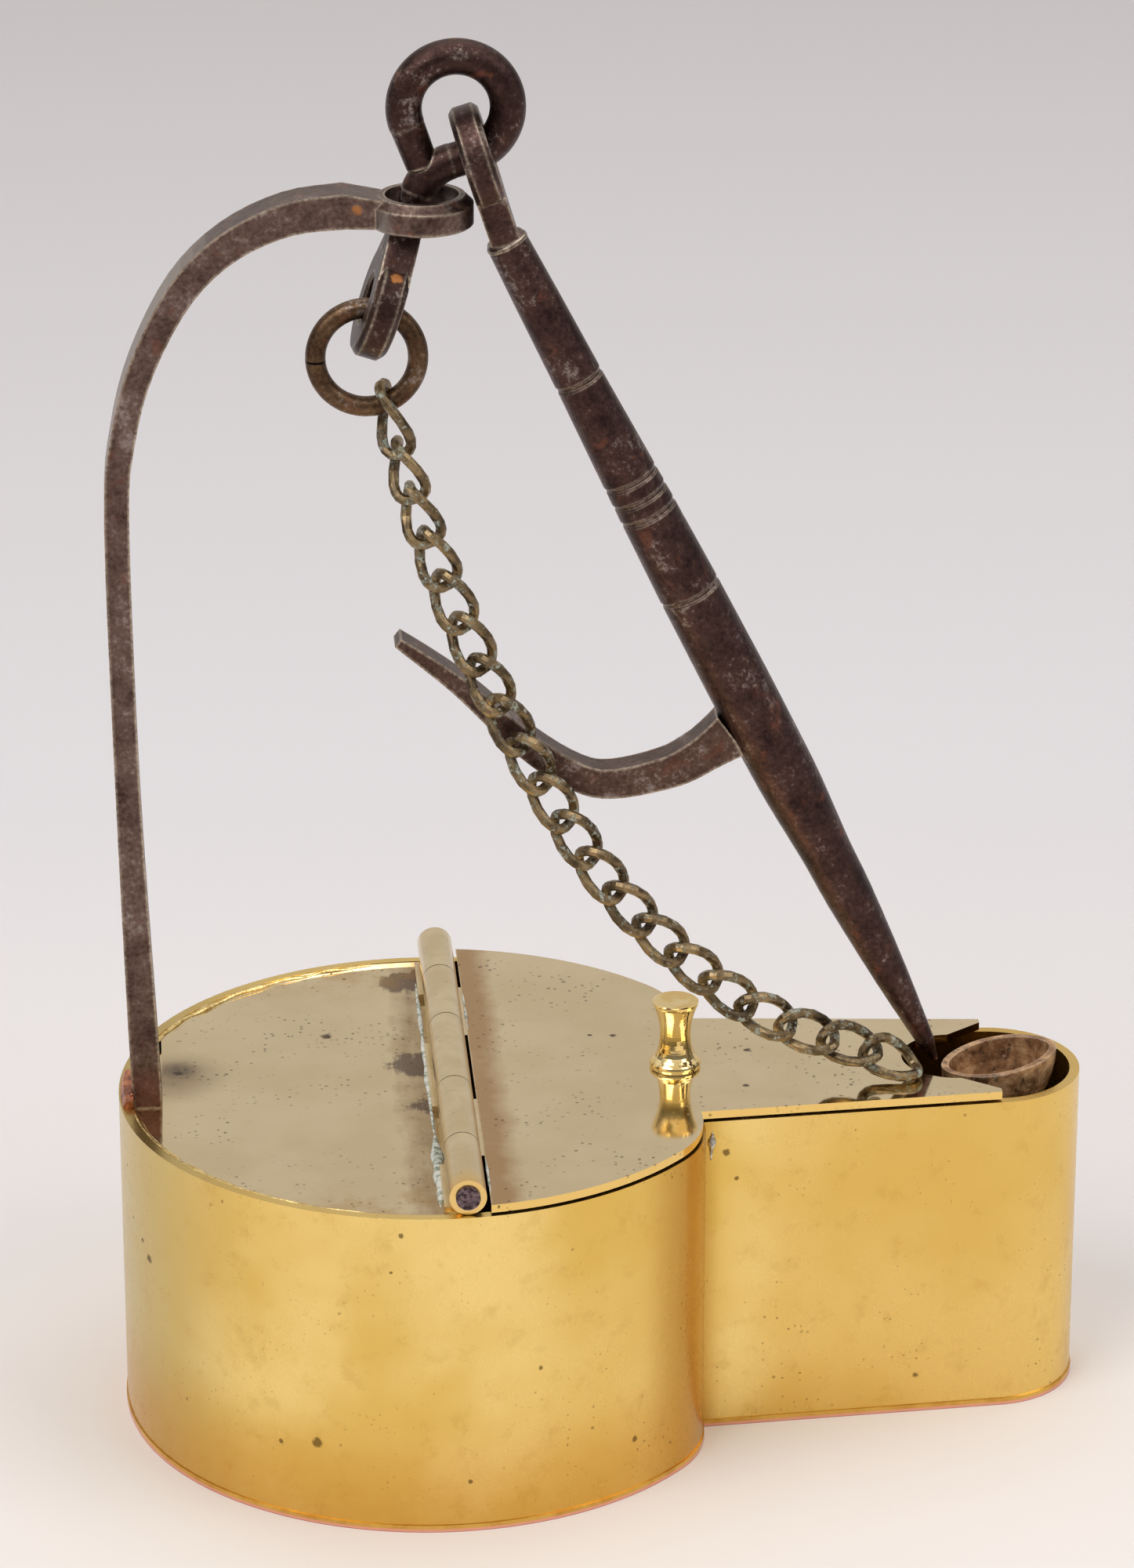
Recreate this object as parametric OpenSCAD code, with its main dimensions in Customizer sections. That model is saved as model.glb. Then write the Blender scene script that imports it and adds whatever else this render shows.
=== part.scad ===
// Lard lamp: a brass font with a hinged lid, a wick trough, a bail, and an iron swivel
// that carries a pointed hanging spike with a side hook and a chain of twisted links.
// Millimetres, Z up. The origin is the drum's axis on the underside of the base plate,
// +X points to the spout and -Y to the viewer.

/* [Font] */
// radius of the drum's outer face
drum_r = 38; // [30:0.5:50]
// radius of the round shoulders where the drum turns into the spout
shoulder_r = 14.4; // [8:0.2:18]
// half angle of the drum's mouth, where the shoulders begin
mouth_half_angle = 40; // [30:1:50]
// radius of the spout's round nose
nose_r = 11; // [8:0.2:13]
// distance of the nose's centre from the drum's axis
nose_x = 69.2; // [60:0.2:80]
// thickness of the font's sheet wall
wall_t = 1.2; // [0.8:0.1:2]
// height of the font's rim above the table
rim_z = 41.4; // [30:0.2:60]
// thickness of the copper base plate
base_t = 0.9; // [0.6:0.1:2]
// how far the base plate stands out past the wall
base_lip = 0.15; // [0:0.05:1]

/* [Rear plate and hinge] */
// thickness of the fixed rear plate
plate_t = 0.8; // [0.5:0.1:1.5]
// depth of the rear plate's top below the rim
plate_drop = 0.4; // [0.2:0.1:2]
// front edge of the rear plate, under the hinge
plate_front_x = 2.2; // [0:0.1:6]
// place of the hinge's axis along the font
hinge_x = 2.6; // [0:0.1:8]
// height of the hinge's axis
hinge_z = 43.7; // [42:0.1:46]
// radius of the hinge's rolled barrel
barrel_r = 2.2; // [1.6:0.1:3]
// radius of the hinge pin
pin_r = 1.45; // [0.8:0.05:1.8]
// running clearance of the lid's knuckles round the pin
pin_clearance = 0.05; // [0.02:0.01:0.1]
// how far each end of the hinge stays inside the drum's wall
barrel_inset = 0.8; // [0.6:0.1:6]
// gap between neighbouring knuckles
knuckle_gap = 0.16; // [0.1:0.02:0.4]
// thickness of the hinge's leaves
leaf_t = 0.8; // [0.5:0.1:1.2]
// how far the lid knuckles' leaves reach under the lid
leaf_reach = 8.4; // [5:0.1:10]
// place of the hinge's rearmost seam across the font
seam_back = 25.3; // [18:0.1:28]
// place of the next seam
seam_mid_back = 10.6; // [6:0.1:14]
// place of the seam after the middle
seam_mid_front = -8; // [-14:0.1:-4]
// place of the seam nearest to the viewer
seam_front = -24; // [-28:0.1:-18]

/* [Lid] */
// thickness of the lid
lid_t = 1.0; // [0.6:0.1:2]
// gap between the lid and the rim
lid_gap = 0.3; // [0.2:0.05:1]
// how far the lid's edge stays inside the wall's outer face
lid_inset = 0.3; // [0:0.05:1]
// rear edge of the lid, in front of the hinge
lid_back_x = 5.3; // [5:0.1:8]
// radius of the round cut-out for the spike at the lid's front
notch_r = 6.4; // [4:0.1:8]
// distance of the cut-out's centre from the drum's axis
notch_x = 64.6; // [58:0.1:68]
// half distance between the tips of the lid's two horns
horn_y = 9.8; // [7:0.1:10.5]
// distance of the knob from the drum's axis
knob_x = 30.2; // [20:0.1:50]
// height of the knob above the lid
knob_h = 8.7; // [5:0.1:15]
// radius of the knob's foot
knob_foot_r = 3.1; // [2:0.1:5]
// radius of the knob's waist
knob_waist_r = 1.9; // [1:0.1:3]
// radius of the knob's flat head
knob_head_r = 2.83; // [2:0.01:5]

/* [Bail] */
// width of the bail's flat strap
strap_w = 5.2; // [3:0.1:8]
// thickness of the strap at its foot
strap_t = 3.5; // [2:0.1:4]
// distance of the strap's outer face from the wall's outer face
strap_inset = 1.8; // [1.5:0.1:4]
// centre of the bail's eye along the font
bail_eye_x = 0.1; // [-5:0.1:5]
// radius of the bail's eye
bail_eye_r = 6.0; // [5:0.1:9]
// radius of the hole in the bail's eye
bail_hole_r = 4.3; // [3:0.1:5]
// height of the eye's underside
bail_eye_z = 150.6; // [120:0.1:180]
// thickness of the bail's eye
bail_eye_t = 3.6; // [2:0.1:5]

/* [Swivel] */
// lean of the swivel's shank from upright
swivel_lean = 18.5; // [0:0.5:25]
// place where the shank passes the eye, along the font
swivel_x = -1.1; // [-4:0.1:4]
// height where the shank passes the eye
swivel_z = 152; // [140:0.1:160]
// radius of the shank
shank_r = 1.9; // [1.2:0.1:3]
// place of the upper ring's centre along the font
ring_x = 4.1; // [0:0.1:8]
// height of the upper ring's centre
ring_z = 164.4; // [150:0.1:180]
// radius of the upper ring's centre line
ring_r = 6.0; // [4:0.1:9]
// radius of the upper ring's wire
ring_wire_r = 2.1; // [1.2:0.1:3]
// outer radius of the lower eye
low_eye_r = 6.76; // [5:0.02:9]
// radius of the lower eye's hole
low_eye_hole_r = 2.9; // [2:0.1:4]
// thickness of the lower eye
low_eye_t = 3.8; // [2:0.1:5]

/* [Spike and side hook] */
// outer radius of the spike's eye
spike_eye_r = 6.3; // [5:0.1:8]
// radius of the hole in the spike's eye
spike_hole_r = 3.15; // [2.3:0.05:4]
// thickness of the spike's eye
spike_eye_t = 3.5; // [2:0.1:5]
// direction in which the spike hangs on the upper ring
spike_hang_angle = -67.4; // [-110:0.2:-40]
// length of the flat neck between the spike's eye and its shaft
neck_l = 10.06; // [9:0.02:14]
// lean of the neck from upright
neck_lean = 17.4; // [0:0.2:30]
// gap between the spike's point and the trough
spike_tip_gap = 0.7; // [0.3:0.1:3]
// distance of the side hook's root down the shaft
hook_s = 69; // [60:0.5:80]
// thickness of the side hook across the lamp
hook_w = 3.7; // [2:0.1:6]
// how far the hook's tip stands off the shaft
hook_reach = 43.6; // [36:0.2:50]
// height of the hook's bar at its root
hook_root_h = 6; // [4:0.1:8]

/* [Chain] */
// number of twisted links
link_n = 20; // [10:1:20]
// radius of the links' wire
link_wire_r = 0.65; // [0.5:0.05:1]
// distance from one link to the next
link_pitch = 5.58; // [4:0.02:8]
// slack between neighbouring links
link_slack = 0.35; // [0.2:0.05:0.8]
// half width of a link's centre line
link_half_w = 2.15; // [1.5:0.05:3]
// twist of a link from its middle to either end
link_twist = 50; // [30:1:60]
// radius of the chain ring's centre line
chain_ring_r = 6.0; // [4:0.1:9]
// radius of the chain ring's wire
chain_ring_wire_r = 1.2; // [0.8:0.05:2]
// place of the chain ring's centre along the font
chain_ring_x = -6.5; // [-12:0.1:0]
// height of the chain ring's centre
chain_ring_z = 134.6; // [120:0.1:150]

/* [Wick trough] */
// place of the trough's middle along the font
trough_x = 70.2; // [60:0.1:75]
// half length of the trough
trough_half_l = 7.1; // [4:0.1:9]
// half width of the trough
trough_half_w = 5.7; // [3:0.1:8]
// height of the trough's rim at its rear
trough_z = 41.6; // [38:0.1:46]
// rise of the trough's rim towards the nose
trough_rise = 2.4; // [0:0.1:5]
// depth of the trough
trough_depth = 9; // [5:0.1:14]
// thickness of the trough's sheet
trough_t = 0.9; // [0.5:0.1:1.5]

/* [View] */
// which sub-part is drawn

/* [Hidden] */
$fn = 96;

function link_name(i) = str("chain_link_", i < 10 ? "0" : "", i);

brass = [0.86, 0.70, 0.42];
copper = [0.78, 0.50, 0.38];
iron = [0.26, 0.19, 0.16];
chain_metal = [0.42, 0.38, 0.33];
burnt = [0.45, 0.32, 0.20];

// font outline
shoulder_d = drum_r - shoulder_r;
shoulder_x = shoulder_d * cos(mouth_half_angle);
shoulder_y = shoulder_d * sin(mouth_half_angle);
side_angle = atan2(shoulder_y, nose_x - shoulder_x) - asin(nose_r / norm([nose_x - shoulder_x, shoulder_y]));

round_overlap = 0.02;

// hinge
barrel_half = drum_r - barrel_inset;
pin_half = barrel_half + 0.3;
pin_shift = -0.1;
plate_z = rim_z - plate_drop - plate_t;
plate_top_z = plate_z + plate_t;
lid_z = rim_z + lid_gap;
leaf_back_x = hinge_x - barrel_r - 0.5;
leaf_front_x = hinge_x + leaf_reach;
leaf_z = lid_z - leaf_t;
foot_gap = 0.03;
plate_back_x = strap_inset + strap_t + foot_gap - drum_r;
braze_h = 0.9;
braze_gap = 0.15;
bail_reach = bail_eye_x + drum_r - strap_inset;
bail_rise = bail_eye_z - plate_z;

bail_eye_chamfer = 1.0;

// spike
eye_gap = 0.5;
spike_r = ring_r + eye_gap;
spike_eye = [ring_x + spike_r * cos(spike_hang_angle), ring_z + spike_r * sin(spike_hang_angle)];
shoulder_r0 = 2.45;
groove_depth = 0.14;
spike_tip_drop = 0.3;
neck_r = 2.4;
shaft_start = spike_eye + neck_l * [sin(neck_lean), -cos(neck_lean)];
spike_tip = [trough_x - trough_half_l - spike_tip_gap, lid_z + lid_t - spike_tip_drop];
shaft_l = norm(spike_tip - shaft_start);
shaft_lean = atan2(spike_tip[0] - shaft_start[0], shaft_start[1] - spike_tip[1]);
hook_root = shaft_start + hook_s * [sin(shaft_lean), -cos(shaft_lean)];

// chain
link_squareness = 2.9;
first_link_half = 4.3;
chain_leave_angle = -68;
chain_start_y = 0;
chain_start = [chain_ring_x + chain_ring_r * cos(chain_leave_angle), chain_start_y,
               chain_ring_z + chain_ring_r * sin(chain_leave_angle)];
link_half = (link_pitch + 2 * link_wire_r + link_slack) / 2;
link_reach = link_pitch / 2;
first_back = first_link_half - chain_ring_wire_r - link_wire_r - link_slack;
first_reach = first_link_half - link_wire_r - link_slack / 2;
first_pitch = first_back + first_reach;

// headings in the air, sideways leans and rolls of the links, by number
function link_fall(i) = lookup(i, [[1, -76.5], [4, -70], [8, -64.5], [11, -59], [14, -45.5], [16, -38.5], [18, -20.5],
    [19, -18], [20, -27]]);
function link_lean(i) = lookup(i, [[1, -9], [6, -4.5], [8, -1.8], [14, -1], [20, 0]]);
function link_roll(i) = lookup(i, [[1, 62], [2, 50], [5, 15], [9, 0], [16, 0], [20, -40]]);
function link_step(i) = i == 1 ? first_pitch : link_pitch;
function link_dir(i, heading) = [cos(link_lean(i)) * cos(heading), sin(link_lean(i)), cos(link_lean(i)) * sin(heading)];

// a link that reaches the lid lies on it: its middle stays over the height at which its wire touches
function link_lowest(i) = lid_z + lid_t + link_half_w * cos(link_roll(i)) + link_wire_r + 0.1;
function link_laid(i, z) = asin(min(1, max(-1, (link_lowest(i) - z) / link_reach)));
function link_run(i, at) = i > link_n ? [] :
    let (heading = max(link_fall(i), link_laid(i, at[2])))
        concat([[at, heading]], link_run(i + 1, at + link_step(i) * link_dir(i, heading)));
run = link_run(1, chain_start);
function link_heading(i) = run[i - 1][1];
function link_place(i) = run[i - 1][0] + (i == 1 ? first_back : link_reach) * link_dir(i, link_heading(i));

// smooth curve through a short list of points, in equal steps between each two
function bend(a, b, c, d, t) = 0.5 * (2 * b + (c - a) * t + (2 * a - 5 * b + 4 * c - d) * t * t
    + (3 * b - a - 3 * c + d) * t * t * t);
function curve(p, n) = [for (i = [0 : len(p) - 2], k = [0 : n - 1])
    bend(p[max(i - 1, 0)], p[i], p[i + 1], p[min(i + 2, len(p) - 1)], k / n), p[len(p) - 1]];
function reversed(p) = [for (i = [len(p) - 1 : -1 : 0]) p[i]];

// upright prism over the font's outline, drawn in by inset; its round parts reach a little over each other
module font_prism(inset, h) {
    side_in = inset / cos(side_angle);
    nose_in = nose_r - inset;
    mouth_edge = 2 * drum_r * [cos(mouth_half_angle), sin(mouth_half_angle)];
    difference() {
        cylinder(r = drum_r - inset, h = h);
        translate([0, 0, -1])
            linear_extrude(h + 2)
                polygon([[0, 0], mouth_edge, [mouth_edge[0], -mouth_edge[1]]]);
    }
    for (s = [-1, 1])
        translate([shoulder_x, s * shoulder_y, 0])
            cylinder(r = shoulder_r - inset + round_overlap, h = h);
    linear_extrude(h)
        polygon([[-shoulder_r / 2, 0], [shoulder_x, shoulder_y - side_in],
                 [nose_x + nose_in * sin(side_angle), nose_in * cos(side_angle)],
                 [nose_x + nose_in * sin(side_angle), -nose_in * cos(side_angle)],
                 [shoulder_x, side_in - shoulder_y]]);
    translate([nose_x, 0, 0])
        cylinder(r = nose_in + round_overlap, h = h);
}

module base_plate() color(copper)
    font_prism(-base_lip, base_t);

module font_wall() color(brass)
    translate([0, 0, base_t])
        difference() {
            font_prism(0, rim_z - base_t);
            translate([0, 0, -1])
                font_prism(wall_t, rim_z - base_t + 2);
        }

// fixed plate over the drum's rear with a fillet of solder against the wall,
// and a lower ledge behind its straight edge that closes the drum under the bail's foot
module rear_plate() color(brass) {
    inner_r = drum_r - wall_t;
    fillet = plate_drop - 0.1;
    ledge_lap = 1.2;
    ledge_overlap = 0.05;
    difference() {
        union() {
            translate([0, 0, plate_z])
                cylinder(r = inner_r, h = plate_t);
            translate([0, 0, plate_top_z])
                rotate_extrude()
                    polygon([[inner_r - 3 * fillet, 0], [inner_r, 0], [inner_r, fillet]]);
        }
        translate([plate_front_x, -drum_r, plate_z - 1])
            cube([2 * drum_r, 2 * drum_r, plate_t + 3]);
        translate([plate_back_x - drum_r, -drum_r, plate_z - 1])
            cube([drum_r, 2 * drum_r, plate_t + 3]);
    }
    intersection() {
        translate([0, 0, plate_z - plate_t])
            cylinder(r = inner_r, h = plate_t + ledge_overlap);
        difference() {
            translate([-drum_r, -drum_r, plate_z - plate_t])
                cube([drum_r + plate_back_x + ledge_lap, 2 * drum_r, plate_t + ledge_overlap]);
            translate([-drum_r, -drum_r, plate_z])
                cube([drum_r + plate_back_x, 2 * drum_r, plate_t]);
        }
    }
}

// knuckle rolled round the pin between two places along the hinge
module knuckle(y0, y1, bore) {
    translate([hinge_x, y1, hinge_z])
        rotate([90, 0, 0])
            difference() {
                cylinder(r = barrel_r, h = y1 - y0);
                translate([0, 0, -1])
                    cylinder(r = bore, h = y1 - y0 + 2);
            }
}

// fixed knuckle with its leaf on the rear plate
module fixed_knuckle(y0, y1) color(brass) {
    leaf_y = min(barrel_half - 0.5, y1);
    leaf_y0 = max(0.5 - barrel_half, y0);
    difference() {
        union() {
            knuckle(y0, y1, pin_r);
            intersection() {
                translate([leaf_back_x, leaf_y0, plate_top_z])
                    cube([hinge_x - leaf_back_x, leaf_y - leaf_y0, leaf_t]);
                cylinder(r = drum_r - wall_t - 1.2, h = 60);
            }
        }
        translate([hinge_x, y1 + 1, hinge_z])
            rotate([90, 0, 0])
                cylinder(r = pin_r, h = y1 - y0 + 2);
    }
}

module hinge_barrel_back() fixed_knuckle(seam_back + knuckle_gap / 2, barrel_half);

module hinge_barrel_middle() fixed_knuckle(seam_mid_front + knuckle_gap / 2, seam_mid_back - knuckle_gap / 2);

module hinge_barrel_front() fixed_knuckle(-barrel_half, seam_front - knuckle_gap / 2);

module hinge_pin() color(iron)
    translate([hinge_x, pin_half + pin_shift, hinge_z])
        rotate([90, 0, 0])
            cylinder(r = pin_r, h = 2 * pin_half);

// lid knuckle with the leaf that holds the lid from below
module lid_knuckle(y0, y1) {
    difference() {
        union() {
            knuckle(y0, y1, pin_r + pin_clearance);
            translate([hinge_x, y0, leaf_z])
                cube([leaf_front_x - hinge_x, y1 - y0, leaf_t]);
            translate([hinge_x, y0, leaf_z])
                cube([lid_back_x - hinge_x, y1 - y0, leaf_t + lid_t]);
        }
        translate([hinge_x, y1 + 1, hinge_z])
            rotate([90, 0, 0])
                cylinder(r = pin_r + pin_clearance, h = y1 - y0 + 2);
    }
}

module lid_knuckles() color(brass) {
    lid_knuckle(seam_mid_back + knuckle_gap / 2, seam_back - knuckle_gap / 2);
    lid_knuckle(seam_front + knuckle_gap / 2, seam_mid_front - knuckle_gap / 2);
}

rivet_r = 1.2;

module lid() color(brass)
    translate([0, 0, lid_z])
        difference() {
            intersection() {
                font_prism(lid_inset, lid_t);
                translate([lid_back_x, -drum_r, -1])
                    cube([nose_x - lid_back_x, 2 * drum_r, lid_t + 2]);
            }
            translate([notch_x, 0, -1])
                cylinder(r = notch_r, h = lid_t + 2);
            translate([0, 0, -1])
                linear_extrude(lid_t + 2)
                    polygon([[notch_x, notch_r - 0.1], [nose_x + 1, horn_y + 0.7], [nose_x + 1, -horn_y - 0.7], [notch_x, 0.1 - notch_r]]);
            translate([knob_x, 0, -1])
                cylinder(r = rivet_r, h = lid_t + 2);
        }

// turned knob, riveted through the lid
module lid_knob() color(brass)
    translate([knob_x, 0, lid_z])
        rotate_extrude()
            polygon(concat(
                [[0, -0.5], [rivet_r + 0.5, -0.5], [rivet_r + 0.8, 0], [rivet_r, 0], [rivet_r, lid_t]],
                curve([[knob_foot_r, lid_t], [knob_foot_r, lid_t + 0.7], [2.3, lid_t + 1.7],
                       [knob_waist_r, lid_t + 3.9], [2.05, lid_t + 6.0], [2.6, lid_t + knob_h - 0.9],
                       [knob_head_r, lid_t + knob_h - 0.4]], 4),
                [[knob_head_r, lid_t + knob_h - 0.1], [knob_head_r - 0.15, lid_t + knob_h], [0, lid_t + knob_h]]));

// flat strap that rises behind the drum and arches over to the eye; its outer line is a curve through
// shares of the reach to the eye, shares of the rise, and shares of the strap's thickness
module bail() {
    line = [for (p = curve([[1, 0, 1], [1.011, 0.098, 1], [1.029, 0.379, 0.84], [1.039, 0.678, 0.84], [1.011, 0.777, 0.84],
                            [0.942, 0.861, 0.88], [0.81, 0.945, 0.96], [0.645, 0.999, 1.03], [0.444, 1.031, 1.12],
                            [0.251, 1.04, 1.19]], 4))
        [bail_eye_x - bail_reach * p[0], plate_z + bail_rise * p[1], strap_t * p[2]]];
    n = len(line) - 1;
    function flat(i) = [line[i][0], line[i][1]];
    function inward(i) = i == 0 ? [1, 0] : let (d = flat(min(i + 1, n)) - flat(i - 1)) [d[1], -d[0]] / norm(d);
    strap_end = bail_eye_x - bail_eye_r + 1.4;
    color(iron) difference() {
        union() {
            translate([0, strap_w / 2, 0])
                rotate([90, 0, 0])
                    linear_extrude(strap_w)
                        polygon(concat([for (i = [0 : n]) flat(i)],
                                       [[strap_end, bail_eye_z + bail_eye_t - 0.1], [strap_end, bail_eye_z + 0.1]],
                                       [for (i = [n : -1 : 0]) flat(i) + line[i][2] * inward(i)]));
            translate([bail_eye_x, 0, bail_eye_z])
                rotate_extrude()
                    polygon([[0, 0], [bail_eye_r - 0.2, 0], [bail_eye_r, 0.2], [bail_eye_r, bail_eye_t - bail_eye_chamfer],
                             [bail_eye_r - bail_eye_chamfer, bail_eye_t], [0, bail_eye_t]]);
        }
        translate([bail_eye_x, 0, bail_eye_z - 5])
            cylinder(r = bail_hole_r, h = bail_eye_t + 10);
    }
}

// lump of braze on the rim against the strap's outer face
module bail_braze() color(copper)
    intersection() {
        translate([0, 0, rim_z])
            cylinder(r1 = drum_r - 0.2, r2 = drum_r - 0.6, h = braze_h, $fn = 720);
        translate([-drum_r, 0.4 - strap_w, rim_z])
            cube([strap_inset - braze_gap, 2 * strap_w - 1.2, braze_h]);
    }

// disc with chamfered edges and a hole, lying in the XZ plane
module eye_disc(r, hole, t, chamfer) {
    rotate([90, 0, 0])
        rotate_extrude()
            polygon([[hole + chamfer / 2, -t / 2], [r - chamfer, -t / 2], [r, chamfer - t / 2],
                     [r, t / 2 - chamfer], [r - chamfer, t / 2], [hole + chamfer / 2, t / 2],
                     [hole, t / 2 - chamfer / 2], [hole, chamfer / 2 - t / 2]]);
}

// wire bent about a centre in the XZ plane from one angle to another
module wire_arc(bend_r, wire_r, from, to) {
    rotate([90, 0, 0])
        rotate([0, 0, from])
            rotate_extrude(angle = to - from)
                translate([bend_r, 0])
                    circle(r = wire_r);
}

// iron swivel: a hooked ring above the bail's eye, a shank through it and an eye below
module swivel() color(iron) {
    shank_top = 2.9;
    shank_len = 7.6;
    low_eye_s = -11.3;
    bend_angle = 56.5;
    bend_r = 5.66;
    straight = 2.13;
    open_from = -75;
    open_to = 200;
    leg_l = 5;
    collar_r = 5.2;
    collar_from = -7.5;
    collar_l = 5.5;
    leave = [ring_x + ring_r * cos(open_from), ring_z + ring_r * sin(open_from)];
    heading = open_from - 90;
    after = leave + straight * [cos(heading), sin(heading)];
    centre = after + bend_r * [cos(heading + 90), sin(heading + 90)];
    tip = [ring_x + ring_r * cos(open_to), ring_z + ring_r * sin(open_to)];
    // ring and its open leg
    translate([ring_x, 0, ring_z])
        wire_arc(ring_r, ring_wire_r, open_from, open_to);
    translate([tip[0], 0, tip[1]])
        rotate([0, 360 - open_to, 0])
            translate([0, 0, -0.4])
                cylinder(r1 = ring_wire_r - 0.05, r2 = ring_wire_r - 0.2, h = leg_l + 0.4);
    // neck from the ring into the shank
    translate([leave[0], 0, leave[1]])
        rotate([0, 90 - heading, 0])
            translate([0, 0, -0.4])
                cylinder(r = ring_wire_r - 0.05, h = straight + 0.8);
    translate([centre[0], 0, centre[1]])
        wire_arc(bend_r, ring_wire_r, heading - 90, heading - 90 + bend_angle);
    // shank, collar and lower eye
    translate([swivel_x, 0, swivel_z])
        rotate([0, swivel_lean, 0]) {
            translate([0, 0, -shank_len])
                cylinder(r = shank_r, h = shank_len + shank_top);
            translate([0, 0, low_eye_s])
                rotate([0, 0, 90])
                    eye_disc(low_eye_r, low_eye_hole_r, low_eye_t, 0.7);
            intersection() {
                translate([0, 0, collar_from])
                    cylinder(r1 = collar_r, r2 = shank_r, h = collar_l);
                translate([-low_eye_t / 2 + 0.05, -low_eye_r, collar_from])
                    cube([low_eye_t - 0.1, 2 * low_eye_r, collar_l]);
            }
        }
}

module chain_ring() color(chain_metal)
    translate([chain_ring_x, 0, chain_ring_z])
        rotate([90, 0, 0])
            rotate_extrude()
                translate([chain_ring_r, 0])
                    circle(r = chain_ring_wire_r);

// shaft's half profile from its shoulder to the point, with turned grooves
module shaft_profile() {
    grooves = [19.5, 33.25, 35.65, 37.95, 49.3];
    half_w = 0.45;
    function shaft_r(s) = lookup(s, [[0.5, shoulder_r0], [8.3, 2.67], [18.8, 2.88], [32.6, 3.32], [38.6, 3.5], [48.5, 3.72], [57, 3.8]]);
    polygon(concat(
        [[0, 0], [shoulder_r0 - 0.25, 0], [shoulder_r0, 0.5], [shaft_r(8.3), 8.3]],
        [for (s = grooves, k = [-1, -0.4, 0.4, 1]) [shaft_r(s) - (abs(k) < 1 ? groove_depth : 0), s + k * half_w]],
        curve([[3.8, 57], [3.85, 63], [3.8, 72], [3.68, 78], [3.1, shaft_l - 31.3], [2.93, shaft_l - 24.8],
               [2.1, shaft_l - 12.8], [1.1, shaft_l - 2.8]], 3),
        [[0.3, shaft_l], [0, shaft_l]]));
}

// pointed iron spike whose flat eye hangs on the swivel's ring, seen edge on from the front
module spike() color(iron) {
    neck_from = spike_eye_r - 2.0;
    translate([spike_eye[0], 0, spike_eye[1]])
        rotate([0, 180 - neck_lean, 0]) {
            rotate([0, 0, 90])
                eye_disc(spike_eye_r, spike_hole_r, spike_eye_t, 0.6);
            intersection() {
                translate([0, 0, neck_from])
                    cylinder(r1 = neck_r + 2.0, r2 = neck_r, h = neck_l - neck_from + 0.3);
                translate([-spike_eye_t / 2 + 0.05, -spike_eye_r, 0])
                    cube([spike_eye_t - 0.1, 2 * spike_eye_r, neck_l + 1]);
            }
        }
    translate([shaft_start[0], 0, shaft_start[1]])
        rotate([0, 180 - shaft_lean, 0])
            rotate_extrude()
                shaft_profile();
}

// thin ring of braze where the spike's neck meets the shaft
module spike_braze() color(copper)
    translate([shaft_start[0], 0, shaft_start[1]])
        rotate([0, 180 - shaft_lean, 0])
            rotate_extrude()
                polygon([[shoulder_r0, 0.5], [shoulder_r0 + 0.09, 0.6], [shoulder_r0 + 0.09, 0.9], [shoulder_r0 + 0.02, 1]]);

// flat hook forged onto the spike; its line is a curve through shares of its reach
module side_hook() {
    line = [for (p = curve([[-0.085, -0.009], [-0.186, -0.078], [-0.268, -0.115], [-0.411, -0.142], [-0.511, -0.119],
                            [-0.649, -0.023], [-0.833, 0.156], [-1, 0.289]], 4)) hook_root + hook_reach * p];
    n = len(line) - 1;
    function across(i) = let (d = line[min(i + 1, n)] - line[max(i - 1, 0)]) [-d[1], d[0]] / norm(d);
    function half_at(i) = hook_root_h / 2 * lookup(i / n, [[0, 1], [0.1, 0.77], [0.35, 0.65], [0.7, 0.55], [1, 0.2]]);
    color(iron) difference() {
        translate([0, hook_w / 2, 0])
            rotate([90, 0, 0])
                linear_extrude(hook_w)
                    polygon(concat([for (i = [0 : n]) line[i] + half_at(i) * across(i)],
                                   [for (i = [n : -1 : 0]) line[i] - half_at(i) * across(i)]));
        translate([shaft_start[0], 0, shaft_start[1]])
            rotate([0, 180 - shaft_lean, 0])
                rotate_extrude()
                    shaft_profile();
    }
}

// one twisted link about its own middle, running along X, as a tube along a squarish oval
module twisted_link(half_l, roll) {
    rings = 22;
    sides = 8;
    squareness = 2 / link_squareness;
    function power(a) = sign(a) * pow(abs(a), squareness);
    function centre_line(k) = let (t = 360 * (k + 0.5) / rings, u = half_l * power(cos(t)), v = link_half_w * power(sin(t)),
        a = link_twist * u / half_l) [u, v * sin(a), v * cos(a)];
    function unit(v) = v / norm(v);
    function along(k) = unit(centre_line(k + 1) - centre_line(k - 1));
    function outward(k) = let (a = link_twist * centre_line(k)[0] / half_l, m = [centre_line(k)[0], centre_line(k)[1], centre_line(k)[2]],
        n = [0, cos(a), -sin(a)]) unit(cross(along(k), n));
    function side(k) = cross(along(k), outward(k));
    points = [for (k = [0 : rings - 1], j = [0 : sides - 1])
        centre_line(k) + link_wire_r * (cos(360 * j / sides) * outward(k) + sin(360 * j / sides) * side(k))];
    faces = [for (k = [0 : rings - 1], j = [0 : sides - 1])
        let (k2 = (k + 1) % rings, j2 = (j + 1) % sides)
            [k * sides + j, k * sides + j2, k2 * sides + j2, k2 * sides + j]];
    tris = [for (f = faces) each [[f[0], f[1], f[2]], [f[0], f[2], f[3]]]];
    rotate([roll, 0, 0])
        polyhedron(points, tris);
}

module chain_link(i) color(chain_metal)
    translate(link_place(i))
        rotate([0, -link_heading(i), 0])
            rotate([0, 0, link_lean(i)])
                twisted_link(i == 1 ? first_link_half : link_half, link_roll(i));

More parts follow.
